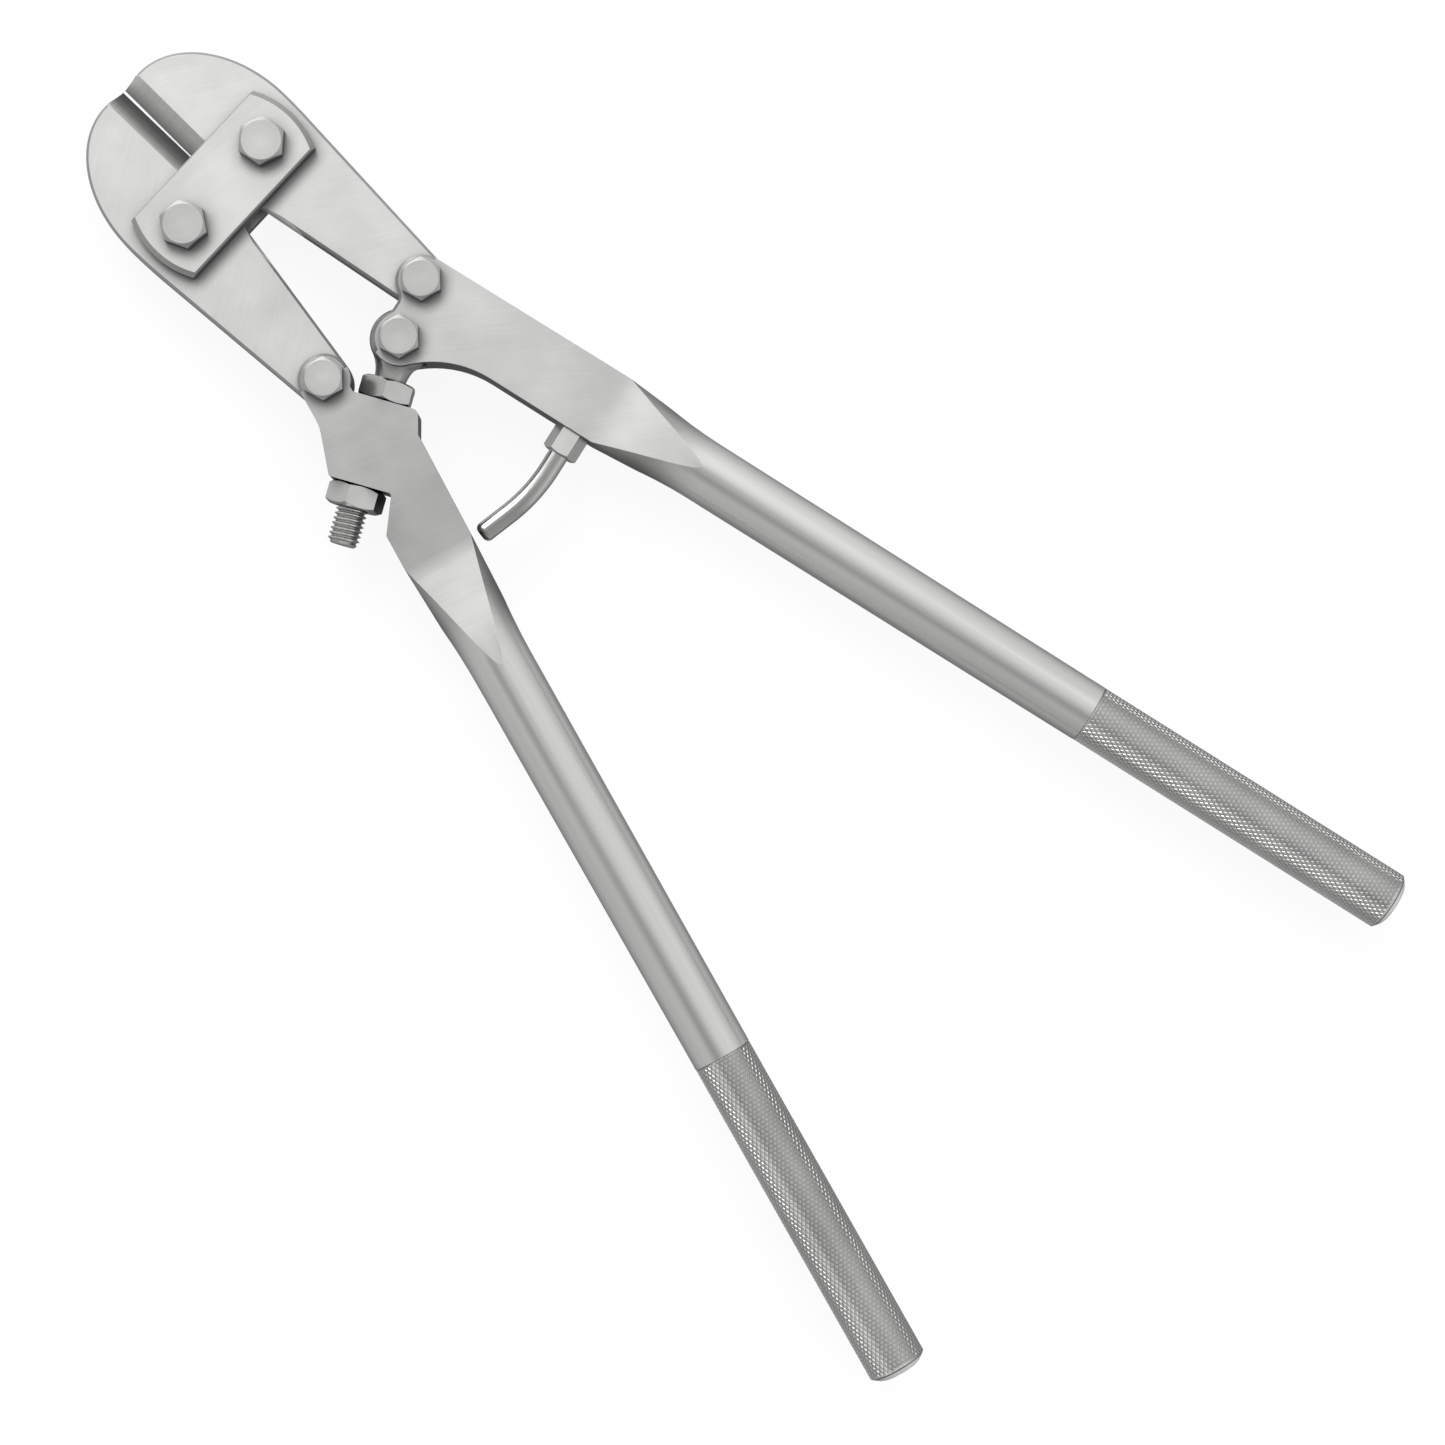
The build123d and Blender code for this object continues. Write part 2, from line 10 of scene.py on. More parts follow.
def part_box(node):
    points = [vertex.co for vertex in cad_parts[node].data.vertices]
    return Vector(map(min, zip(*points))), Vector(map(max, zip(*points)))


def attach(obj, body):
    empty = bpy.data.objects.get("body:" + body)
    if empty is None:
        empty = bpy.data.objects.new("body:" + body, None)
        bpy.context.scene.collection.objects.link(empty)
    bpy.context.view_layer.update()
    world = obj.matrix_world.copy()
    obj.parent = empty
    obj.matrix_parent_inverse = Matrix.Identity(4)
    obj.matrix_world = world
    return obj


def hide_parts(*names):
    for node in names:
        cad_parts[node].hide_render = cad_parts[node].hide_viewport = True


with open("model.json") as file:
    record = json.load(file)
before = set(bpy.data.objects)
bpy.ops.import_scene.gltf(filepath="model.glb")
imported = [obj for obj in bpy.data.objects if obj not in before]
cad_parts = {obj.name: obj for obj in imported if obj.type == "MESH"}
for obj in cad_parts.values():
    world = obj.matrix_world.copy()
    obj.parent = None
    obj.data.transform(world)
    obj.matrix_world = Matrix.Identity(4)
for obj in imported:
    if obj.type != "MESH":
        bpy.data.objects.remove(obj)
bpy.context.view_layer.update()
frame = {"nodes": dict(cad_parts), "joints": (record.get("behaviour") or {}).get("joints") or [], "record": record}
nodes = frame["nodes"]
mounts = {mount["name"]: mount for mount in frame["record"]["mounts"]}
joints = {joint["name"]: joint for joint in frame["joints"]}

MM = 0.001
LINK_PIVOT = joints["handle_hinge"]["pos_m"]
SCREW_MIDDLE = joints["rear_nut_turn"]["pos_m"]
SCREW_AXIS = joints["rear_nut_turn"]["axis"]

# ---------------------------------------------------------------- camera
CAMERA_PLACE = (0.03447, -0.03075, 0.88653)
CAMERA_RIGHT = (0.716545, 0.697181, 0.022393)
CAMERA_UP = (-0.697534, 0.716033, 0.027249)
CAMERA_SENSOR = 36.0            # millimetres
CAMERA_LENS = 87.19723
CAMERA_NEAR, CAMERA_FAR = 0.01, 50.0


def add_camera():
    data = bpy.data.cameras.new("camera")
    data.sensor_width = CAMERA_SENSOR
    data.lens = CAMERA_LENS
    data.clip_start = CAMERA_NEAR
    data.clip_end = CAMERA_FAR
    camera = bpy.data.objects.new("camera", data)
    bpy.context.scene.collection.objects.link(camera)
    right = Vector(CAMERA_RIGHT).normalized()
    up = Vector(CAMERA_UP).normalized()
    turn = Matrix((right, up, right.cross(up))).transposed().to_4x4()
    camera.matrix_world = Matrix.Translation(CAMERA_PLACE) @ turn
    bpy.context.scene.camera = camera


# ---------------------------------------------------------------- node helpers
def grey(value):
    return (value, value, value, 1.0)


def new_tree(name):
    material = bpy.data.materials.new(name)
    material.use_nodes = True
    tree = material.node_tree
    tree.nodes.clear()
    return material, tree


class Nodes:
    """Short names for making and joining shader nodes."""

    def __init__(self, tree):
        self.tree = tree

    def put(self, kind, **values):
        node = self.tree.nodes.new(kind)
        for key, value in values.items():
            setattr(node, key, value)
        return node

    def link(self, source, target):
        self.tree.links.new(source, target)

    def feed(self, socket, value):
        if isinstance(value, bpy.types.NodeSocket):
            self.link(value, socket)
        else:
            socket.default_value = value

    def position(self):
        return self.put("ShaderNodeTexCoord").outputs["Object"]

    def facing(self):
        return self.put("ShaderNodeNewGeometry").outputs["Normal"]

    def math(self, operation, a, b=0.0, clamp=False):
        node = self.put("ShaderNodeMath", operation=operation, use_clamp=clamp)
        self.feed(node.inputs[0], a)
        self.feed(node.inputs[1], b)
        return node.outputs[0]

    def plus(self, a, b):
        return self.math("ADD", a, b)

    def times(self, a, b):
        return self.math("MULTIPLY", a, b)

    def vector_math(self, operation, a, b):
        node = self.put("ShaderNodeVectorMath", operation=operation)
        self.feed(node.inputs[0], a)
        self.feed(node.inputs[1], b)
        return node.outputs["Value"] if operation in ("DOT_PRODUCT", "DISTANCE") else node.outputs["Vector"]

    def split(self, vector):
        node = self.put("ShaderNodeSeparateXYZ")
        self.link(vector, node.inputs[0])
        return node.outputs

    def placed(self, vector, turn, scale):
        """Coordinates whose X runs along the given direction in the row's plane, scaled along each axis."""
        node = self.put("ShaderNodeMapping", vector_type="TEXTURE")
        self.link(vector, node.inputs["Vector"])
        node.inputs["Rotation"].default_value = (0, 0, turn)
        node.inputs["Scale"].default_value = [1 / factor for factor in scale]
        return node.outputs[0]

    def blend(self, factor, a, b):
        node = self.put("ShaderNodeMix", data_type="FLOAT")
        self.feed(node.inputs[0], factor)
        self.feed(node.inputs[2], a)
        self.feed(node.inputs[3], b)
        return node.outputs[0]

    def ranged(self, value, low, high, new_low, new_high, smooth=False):
        node = self.put("ShaderNodeMapRange", interpolation_type="SMOOTHSTEP" if smooth else "LINEAR")
        self.feed(node.inputs["Value"], value)
        for name, number in zip(("From Min", "From Max", "To Min", "To Max"), (low, high, new_low, new_high)):
            self.feed(node.inputs[name], number)
        return node.outputs[0]

    def ramp(self, value, low, high, stops, curve="EASE"):
        """A grey curve through (value, grey) stops."""
        node = self.put("ShaderNodeValToRGB")
        self.link(self.ranged(value, low, high, 0.0, 1.0), node.inputs[0])
        node.color_ramp.interpolation = curve
        elements = node.color_ramp.elements
        while len(elements) < len(stops):
            elements.new(0.5)
        for element, (at, tone) in zip(elements, stops):
            element.position = (at - low) / (high - low)
            element.color = grey(tone)
        return node.outputs[0]

    def noise(self, vector, scale, detail, roughness):
        node = self.put("ShaderNodeTexNoise")
        self.link(vector, node.inputs["Vector"])
        node.inputs["Scale"].default_value = scale
        node.inputs["Detail"].default_value = detail
        node.inputs["Roughness"].default_value = roughness
        return node.outputs["Fac"]

    def varied(self, noise, middle, spread, reach=0.2):
        """Values about a middle, from a noise that is taken to lie within the reach of a half."""
        return self.ranged(noise, 0.5 - reach, 0.5 + reach, middle - spread, middle + spread)


# ---------------------------------------------------------------- light
# the dome's tone by its angle about X: -90 towards -Y, 0 straight up, 90 towards +Y
AROUND = [(-90, 0.50), (-71, 0.48), (-57.9, 0.50), (-45.5, 0.54), (-33.7, 0.41),
          (-22.3, 0.29), (-11.1, 0.45), (0, 0.54), (11.1, 0.73), (22.3, 0.82),
          (33.7, 0.87), (45.5, 0.82), (57.9, 0.78), (71, 0.72), (90, 0.62)]
# its gain by the X and by the Z of the direction
LENGTHWISE = [(-1.0, 1.15), (-0.5, 1.12), (-0.2, 1.07), (0.0, 1.0), (0.2, 0.90), (0.5, 0.98), (1.0, 1.25)]
DOWNWARDS = [(-1.0, 0.40), (-0.92, 0.42), (-0.75, 0.52), (-0.4, 0.85), (0.0, 1.0), (1.0, 1.0)]
HORIZON = 0.001                 # directions below it take the tone of the horizon on their side

# a soft bright window beyond the jaws
WINDOW = (-0.87, 0.32, 0.38)
WINDOW_GAIN = 0.8
WINDOW_CORE = radians(14)
WINDOW_EDGE = radians(34)

KEY_PLACE = (-0.75, 0.35, 1.0)
KEY_TARGET = (-0.08, 0.0, 0.0)
KEY_SIZE = 0.5
KEY_POWER = 1.6


def add_dome():
    world = bpy.data.worlds.new("studio")
    bpy.context.scene.world = world
    world.use_nodes = True
    world.node_tree.nodes.clear()
    n = Nodes(world.node_tree)
    direction = n.put("ShaderNodeTexCoord").outputs["Generated"]
    x, y, z = n.split(direction)
    about = n.math("ARCTAN2", y, n.math("MAXIMUM", z, HORIZON))
    around = n.ramp(about, -pi / 2, pi / 2, [(radians(at), tone) for at, tone in AROUND])
    lengthwise = n.ramp(x, -1.0, 1.0, LENGTHWISE)
    downwards = n.ramp(z, -1.0, 1.0, DOWNWARDS)
    dome = n.times(n.times(around, lengthwise), downwards)
    towards = n.vector_math("DOT_PRODUCT", direction, Vector(WINDOW).normalized())
    window = n.ranged(towards, cos(WINDOW_EDGE), cos(WINDOW_CORE), 0.0, WINDOW_GAIN, smooth=True)
    background = n.put("ShaderNodeBackground")
    n.link(n.plus(dome, window), background.inputs["Color"])
    output = n.put("ShaderNodeOutputWorld")
    n.link(background.outputs[0], output.inputs["Surface"])


def add_key():
    data = bpy.data.lights.new("key", "AREA")
    data.size = KEY_SIZE
    data.energy = KEY_POWER
    light = bpy.data.objects.new("key", data)
    light.location = KEY_PLACE
    light.rotation_euler = (Vector(KEY_TARGET) - Vector(KEY_PLACE)).to_track_quat("-Z", "Y").to_euler()
    bpy.context.scene.collection.objects.link(light)


# ---------------------------------------------------------------- steel
BRUSH_STRETCH = (60, 2600, 900)         # how finely the brush lines vary along, across and into the surface
BRUSH_REACH = 0.25
BLOTCH_SCALE = 55.0
GRAIN_SCALE = 2400.0
BLOTCH_SPREAD = 0.07                    # shares of the tone and of the roughness
ROUGH_SPREAD = 0.1
BRUSH_ROUGH = 0.03
RELIEF_DEPTH = 0.003 * MM
RELIEF_BRUSH, RELIEF_GRAIN = 0.8, 0.5   # what the lines and the grain give to the relief
STEEL_TINT = (1.0, 0.998, 0.985)

# edges made brighter by wear and a painted highlight: the width that the bevel rounds, and how far the rounded
# normal has to leave the flat one
EDGE_RADIUS = 0.2 * MM
EDGE_SAMPLES = 4
EDGE_NONE, EDGE_FULL = 0.98, 0.80

# painted shade: faces turned away from the window are darker, but the back is left at one even level
SHADE_FROM = (-0.72, -0.05, 0.69)
TURNED_AWAY = [(-1.0, 0.45), (-0.6, 0.48), (-0.1, 0.55), (0.15, 0.70), (0.45, 0.90), (0.7, 1.0), (1.0, 1.0)]
BACK_FULL, BACK_NONE = -0.9, -0.5
BACK_LEVEL = 1.0

# painted shadow: so are places close behind a bolt's head or a nut, as seen from the window
CONTACT_LEAN = (-0.6, 0.2, 0.0)
CONTACT_REACH = 4.0 * MM
CONTACT_SAMPLES = 8
CONTACT_CLOSED, CONTACT_OPEN = 0.30, 0.95
CONTACT_SHADOW_DARKEST = 0.35

# painted shade also darkens the chamfers and side walls of a plate, by how squarely they face up or down
RIM_SHADE = [(0.0, 0.42), (0.5, 0.55), (0.75, 0.70), (0.9, 0.86), (0.97, 1.0), (1.0, 1.0)]


def shade_turned_away(n, normal):
    level = n.ramp(n.vector_math("DOT_PRODUCT", normal, SHADE_FROM), -1.0, 1.0, TURNED_AWAY, "LINEAR")
    back = n.ranged(n.split(normal)[2], BACK_FULL, BACK_NONE, 1.0, 0.0)
    return n.blend(back, level, BACK_LEVEL)


def contact_shadow(n, normal):
    contact = n.put("ShaderNodeAmbientOcclusion", samples=CONTACT_SAMPLES)
    contact.inputs["Distance"].default_value = CONTACT_REACH
    n.link(n.vector_math("ADD", normal, CONTACT_LEAN), contact.inputs["Normal"])
    return n.ranged(contact.outputs["AO"], CONTACT_CLOSED, CONTACT_OPEN, CONTACT_SHADOW_DARKEST, 1.0)


def rim_shade(n, normal):
    return n.ramp(n.math("ABSOLUTE", n.split(normal)[2]), 0.0, 1.0, RIM_SHADE, "LINEAR")


def steel(name, tone, rough, brush_turn, brush_mix=0.04, edge=0.05, shaded=True, rim_shaded=True, extra=None):
    """A metal whose tone, roughness and relief vary: long brush lines, soft blotches, edges brightened by wear and
    a painted highlight, painted shade and shadow.
    """
    material, tree = new_tree(name)
    n = Nodes(tree)
    place = n.position()
    flat = n.facing()
    lines = n.noise(n.placed(place, brush_turn, BRUSH_STRETCH), 1.0, 3.0, 0.6)
    broad = n.noise(place, BLOTCH_SCALE, 3.0, 0.55)
    grain = n.noise(place, GRAIN_SCALE, 2.0, 0.6)
    tone_value = n.plus(n.varied(broad, tone, tone * BLOTCH_SPREAD),
                        n.varied(lines, 0.0, tone * brush_mix, BRUSH_REACH))
    rough_value = n.plus(n.varied(broad, rough, rough * ROUGH_SPREAD),
                         n.varied(lines, 0.0, BRUSH_ROUGH, BRUSH_REACH))
    # painted shade on faces turned from the window, and painted shadow close behind heads and nuts
    if shaded:
        tone_value = n.times(tone_value, n.times(shade_turned_away(n, flat), contact_shadow(n, flat)))
    # painted shade on chamfers and side walls
    if rim_shaded:
        tone_value = n.times(tone_value, rim_shade(n, flat))
    if extra is not None:
        tone_value, rough_value = extra(n, place, tone_value, rough_value)

    bump = n.put("ShaderNodeBump")
    bump.inputs["Distance"].default_value = RELIEF_DEPTH
    bump.inputs["Strength"].default_value = 1.0
    n.link(n.plus(n.times(lines, RELIEF_BRUSH), n.times(grain, RELIEF_GRAIN)), bump.inputs["Height"])
    # edges brightened by wear and a painted highlight
    if edge > 0:
        bevel = n.put("ShaderNodeBevel", samples=EDGE_SAMPLES)
        bevel.inputs["Radius"].default_value = EDGE_RADIUS
        n.link(bevel.outputs[0], bump.inputs["Normal"])
        edge_wear_highlight = n.ranged(n.vector_math("DOT_PRODUCT", bevel.outputs[0], flat), EDGE_NONE, EDGE_FULL, 0.0, 1.0)
        tone_value = n.math("ADD", tone_value, n.times(edge_wear_highlight, edge), clamp=True)

    colour = n.put("ShaderNodeCombineColor")
    for socket, share in zip(colour.inputs, STEEL_TINT):
        n.link(n.times(tone_value, share), socket)
    shader = n.put("ShaderNodeBsdfPrincipled")
    shader.inputs["Metallic"].default_value = 1.0
    n.link(colour.outputs[0], shader.inputs["Base Color"])
    n.link(rough_value, shader.inputs["Roughness"])
    n.link(bump.outputs[0], shader.inputs["Normal"])
    output = n.put("ShaderNodeOutputMaterial")
    n.link(shader.outputs[0], output.inputs["Surface"])
    return material


def turn_of(direction):
    return atan2(direction[1], direction[0])


def along(n, place, origin, direction):
    """How far a place lies along a line from the origin."""
    return n.vector_math("DOT_PRODUCT", n.vector_math("SUBTRACT", place, origin), direction)


def in_metres(stops):
    return [(at * MM, level) for at, level in stops]


# ---------------------------------------------------------------- handles
HANDLE_TONE = 0.80
ROD_STRETCH = (9, 420, 420)
ROD_TONE_SPREAD = 0.07
ROD_ROUGH_SPREAD = 0.15
TONGUE = (66 * MM, 84 * MM)             # the plate's finish gives way to the rod's here, from the link bolt

# painted light and shade: the plates' tone by the distance from the link bolt, in millimetres, with a darker band
# and then a lighter one towards the rod
LENGTHS_END = 100 * MM
UPPER_LIGHT_ALONG = [(0, 1.0), (40, 0.97), (51, 0.93), (58, 1.10), (66, 1.04), (100, 1.0)]
LOWER_LIGHT_ALONG = [(0, 0.90), (25, 0.84), (45, 0.76), (51, 0.80), (56, 1.12), (76, 1.2), (100, 1.0)]


def handle_steel(name, rough, rod_rough, brush_turn, mount, light_along):
    """Satin plate whose tone changes along the handle as painted light and shade, up to a tongue and a rod
    polished lengthwise.
    """
    direction = mounts[mount]["axis"]

    def to_rod(n, place, tone_value, rough_value):
        far = along(n, place, LINK_PIVOT, direction)
        share = n.ranged(far, *TONGUE, 0.0, 1.0, smooth=True)
        # painted light and shade along the handle
        tone_value = n.times(tone_value, n.ramp(far, 0.0, LENGTHS_END, in_metres(light_along)))
        streaks = n.noise(n.placed(place, turn_of(direction), ROD_STRETCH), 1.0, 3.0, 0.5)
        rod_tone_value = n.varied(streaks, HANDLE_TONE, HANDLE_TONE * ROD_TONE_SPREAD)
        rod_rough_value = n.varied(streaks, rod_rough, rod_rough * ROD_ROUGH_SPREAD)
        return n.blend(share, tone_value, rod_tone_value), n.blend(share, rough_value, rod_rough_value)

    return steel(name, HANDLE_TONE, rough, brush_turn, extra=to_rod)


# ---------------------------------------------------------------- jaws
JAW_ROUGH = 0.46
EDGE_Y = 8.6008 * MM                    # the jaws meet on this line of the row's frame
BEVEL_REACH = 5.4 * MM                  # and the ground bevels reach this far from it
BEVEL_STRETCH = (120, 3200, 500)
BEVEL_TURN = radians(90)
BEVEL_SPREAD = 0.1
BEVEL_ROUGH = 0.38
BEVEL_FLAT, BEVEL_LEANT = 0.99, 0.93    # how squarely the face and the bevel look up

# painted shade: the bevels' tone by the distance from the cutting edge, in millimetres, darkest at the edge
UPPER_BEVEL_SHADE = [(0, 0.30), (1.5, 0.48), (3.5, 0.80), (5.4, 0.90)]
LOWER_BEVEL_SHADE = [(0, 0.08), (1.5, 0.10), (3.0, 0.20), (4.2, 0.45), (5.4, 0.90)]


def jaw_steel(name, tone, brush_turn, stops):
    """Satin jaw whose ground bevel changes tone from the cutting edge outwards, as painted shade that is darkest
    at the edge.
    """

    def to_bevel(n, place, tone_value, rough_value):
        upright = n.math("ABSOLUTE", n.split(n.facing())[2])
        away = n.math("ABSOLUTE", n.math("SUBTRACT", n.split(place)[1], EDGE_Y))
        near_edge = n.math("LESS_THAN", away, BEVEL_REACH)
        ground = n.times(n.ranged(upright, BEVEL_FLAT, BEVEL_LEANT, 0.0, 1.0), near_edge)
        lines = n.noise(n.placed(place, BEVEL_TURN, BEVEL_STRETCH), 1.0, 3.0, 0.6)
        bevel_shade_tone = n.times(n.ramp(away, 0.0, BEVEL_REACH, in_metres(stops), "LINEAR"),
                             n.varied(lines, 1.0, BEVEL_SPREAD, BRUSH_REACH))
        return n.blend(ground, tone_value, bevel_shade_tone), n.blend(ground, rough_value, BEVEL_ROUGH)

    return steel(name, tone, JAW_ROUGH, brush_turn, extra=to_bevel)


# ---------------------------------------------------------------- bolts and the stop pin
HEAD_TONE, HEAD_ROUGH = 0.74, 0.36
HEAD_REACH = 5.2 * MM
# painted shade: the head's tone in its middle and at the reach outside it
HEAD_MIDDLE, HEAD_OUTSIDE = 1.03, 0.94
RING_SCALE = 2600.0
RING_SPREAD = 0.03

PIN_TONE, PIN_ROUGH = 0.76, 0.18
# painted highlight and shade on the pin, by the X of its normal
PIN_SIDE_LIGHT = [(-1.0, 0.85), (-0.7, 1.0), (-0.45, 1.25), (-0.1, 0.62), (0.2, 0.58), (0.6, 0.60), (1.0, 0.55)]
PIN_TOP = 16.2 * MM                     # only the hexagon reaches above this height
HEXAGON_UP = 0.9
HEXAGON_HIGHLIGHT = 1.25


def bolt_steel(node):
    """A bolt's head, faced on a lathe: fine rings about its axis, and painted shade that darkens it from the
    middle outwards.
    """
    low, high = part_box(node)
    axis = ((low[0] + high[0]) / 2, (low[1] + high[1]) / 2, 0)

    def to_rings(n, place, tone_value, rough_value):
        away = n.vector_math("DISTANCE", n.vector_math("MULTIPLY", place, (1, 1, 0)), axis)
        radius = n.put("ShaderNodeCombineXYZ")
        n.link(away, radius.inputs[0])
        rings = n.noise(radius.outputs[0], RING_SCALE, 2.0, 0.6)
        # painted shade from the middle outwards
        tone_value = n.times(tone_value, n.ranged(away, 0.0, HEAD_REACH, HEAD_MIDDLE, HEAD_OUTSIDE))
        return n.plus(tone_value, n.varied(rings, 0.0, RING_SPREAD)), rough_value

    return steel(node + "_faced", HEAD_TONE, HEAD_ROUGH, 0.0, brush_mix=0.01, edge=0.12, extra=to_rings)


def pin_steel():
    """A polished pin with a painted highlight along the side towards the jaws and on the top face of its hexagon,
    and painted shade elsewhere.
    """

    def to_painted_sides(n, place, tone_value, rough_value):
        normal = n.split(n.facing())
        face = n.times(n.math("GREATER_THAN", n.split(place)[2], PIN_TOP),
                       n.math("GREATER_THAN", normal[2], HEXAGON_UP))
        level = n.blend(face, n.ramp(normal[0], -1.0, 1.0, PIN_SIDE_LIGHT), HEXAGON_HIGHLIGHT)
        return n.times(tone_value, level), rough_value

    return steel("pin_polished", PIN_TONE, PIN_ROUGH, radians(-80), shaded=False, rim_shaded=False,
                 extra=to_painted_sides)


# ---------------------------------------------------------------- ridged steel
GROOVE_ROUGH = 0.2                      # rougher in the grooves
PLAIN_ROUGH = 0.3                       # and on the plain ends


def ridged_steel(name, tone, rough, start, direction, low, high, reach, crests, grooves):
    """Bright relief about an axis: crests with painted highlight and shade, the grooves between them dark with
    painted shade.

    The relief lies between the radii low and high, and ends at the reach from the start. The painted levels of
    the crests and the grooves go by the distance beside the axis, in shares of the outer radius.
    """
    sideways = (-direction[1], direction[0], 0)

    def to_grooves(n, place, tone_value, rough_value):
        beside = along(n, place, start, sideways)
        above = n.math("SUBTRACT", n.split(place)[2], start[2])
        radius = n.math("SQRT", n.plus(n.times(beside, beside), n.times(above, above)))
        plain = n.math("GREATER_THAN", n.math("ABSOLUTE", along(n, place, start, direction)), reach)
        crest = n.ramp(beside, -high, high, [(at * high, level) for at, level in crests])
        groove = n.ramp(beside, -high, high, [(at * high, level) for at, level in grooves])
        share = n.math("MAXIMUM", n.ranged(radius, low, high, groove, crest), plain)
        rougher = n.math("MAXIMUM", n.ranged(radius, low, high, GROOVE_ROUGH, 0.0),
                         n.times(plain, PLAIN_ROUGH))
        return n.times(tone_value, share), n.plus(rough_value, rougher)

    return steel(name, tone, rough, turn_of(direction), edge=0.0, shaded=False, rim_shaded=False,
                 extra=to_grooves)


# ---------------------------------------------------------------- meshes
def mesh_object(name, bm, material, smooth=False):
    data = bpy.data.meshes.new(name)
    bm.normal_update()
    bm.to_mesh(data)
    bm.free()
    for face in data.polygons:
        face.use_smooth = smooth
    data.materials.append(material)
    thing = bpy.data.objects.new(name, data)
    bpy.context.scene.collection.objects.link(thing)
    return thing


def stand_in(thing, node, body):
    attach(thing, body)
    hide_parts(node)


def axis_matrix(start, direction):
    """Puts +X of a local mesh on the direction and its origin on the start."""
    x = Vector(direction).normalized()
    z = Vector((0, 0, 1))
    y = z.cross(x).normalized()
    turn = Matrix((x, y, x.cross(y))).transposed().to_4x4()
    return Matrix.Translation(start) @ turn


def trim(bm, point, outward):
    """Cuts off all that lies beyond a plane and closes the cut."""
    geometry = bm.verts[:] + bm.edges[:] + bm.faces[:]
    cut = bmesh.ops.bisect_plane(bm, geom=geometry, plane_co=point, plane_no=outward, clear_outer=True)
    rim = [edge for edge in cut["geom_cut"] if isinstance(edge, bmesh.types.BMEdge)]
    bmesh.ops.holes_fill(bm, edges=rim, sides=0)


def lathe(bm, profile, steps):
    """A closed turned solid about X from (x, radius) pairs whose first and last radius is 0."""
    rings = []
    angles = [2 * pi * i / steps for i in range(steps)]
    for x, radius in profile:
        if radius == 0:
            rings.append([bm.verts.new((x, 0, 0))])
        else:
            rings.append([bm.verts.new((x, radius * cos(angle), radius * sin(angle))) for angle in angles])
    for a, b in zip(rings, rings[1:]):
        for i in range(steps):
            j = (i + 1) % steps
            if len(a) == 1:
                bm.faces.new((a[0], b[j], b[i]))
            elif len(b) == 1:
                bm.faces.new((a[i], a[j], b[0]))
            else:
                bm.faces.new((a[i], a[j], b[j], b[i]))


# ---------------------------------------------------------------- grips
GRIP_TONE, GRIP_ROUGH = 0.95, 0.19
GRIP_RADIUS = 7.55 * MM                 # over the crests, just inside the plain sleeve that they replace
GRIP_LENGTH = 90.0 * MM
GRIP_FRONT_CHAMFER = 0.3 * MM           # the mount lies between the two chamfers
GRIP_END_CHAMFER = 1.9 * MM
KNURL_START = 0.25 * MM
KNURL_END = 88.3 * MM
KNURL_COUNT = 38                        # diamonds round the grip
KNURL_PITCH = 2.06 * MM
KNURL_DEPTH = 0.34 * MM
KNURL_FLAT = 0.42                       # the crest's flat, as a share of its diamond
KNURL_REACH = 44.5 * MM                 # the knurl's tones end this far from the mount's middle
CREST_DEPTH = 0.09 * MM                 # the grooves' painted shade ends this far below the crests
LOWER_KNURL_PHASE = 0.4                 # radians, so that the two grips don't look alike
# painted highlight and shade on the crests, painted shade in the grooves, across the grip
GRIP_CREST_LIGHT = [(-1.0, 0.70), (-0.75, 0.62), (-0.55, 0.76), (-0.40, 0.98), (-0.1, 0.95), (0.1, 0.76),
               (0.4, 0.66), (0.7, 0.46), (0.88, 0.36), (1.0, 0.34)]
GRIP_GROOVE_SHADE = [(-1.0, 0.20), (-0.6, 0.09), (-0.3, 0.05), (0.0, 0.06), (0.3, 0.17), (0.7, 0.27), (1.0, 0.30)]

# the solid under the knurling and its plain rounded end: millimetres from the front, and below the crests
GRIP_CORE = [(0, 0.3), (0.3, 0.1), (0.5, 0.17), (87.7, 0.17), (88.15, 0.05), (88.55, 0.35), (89.65, 1.75),
             (90, 2.6)]
CORE_STEPS = 96


def grip_steel(name, mount):
    low, high = GRIP_RADIUS - KNURL_DEPTH, GRIP_RADIUS - CREST_DEPTH
    return ridged_steel(name, GRIP_TONE, GRIP_ROUGH, mounts[mount]["pos_m"], mounts[mount]["axis"], low, high,
                        KNURL_REACH, GRIP_CREST_LIGHT, GRIP_GROOVE_SHADE)


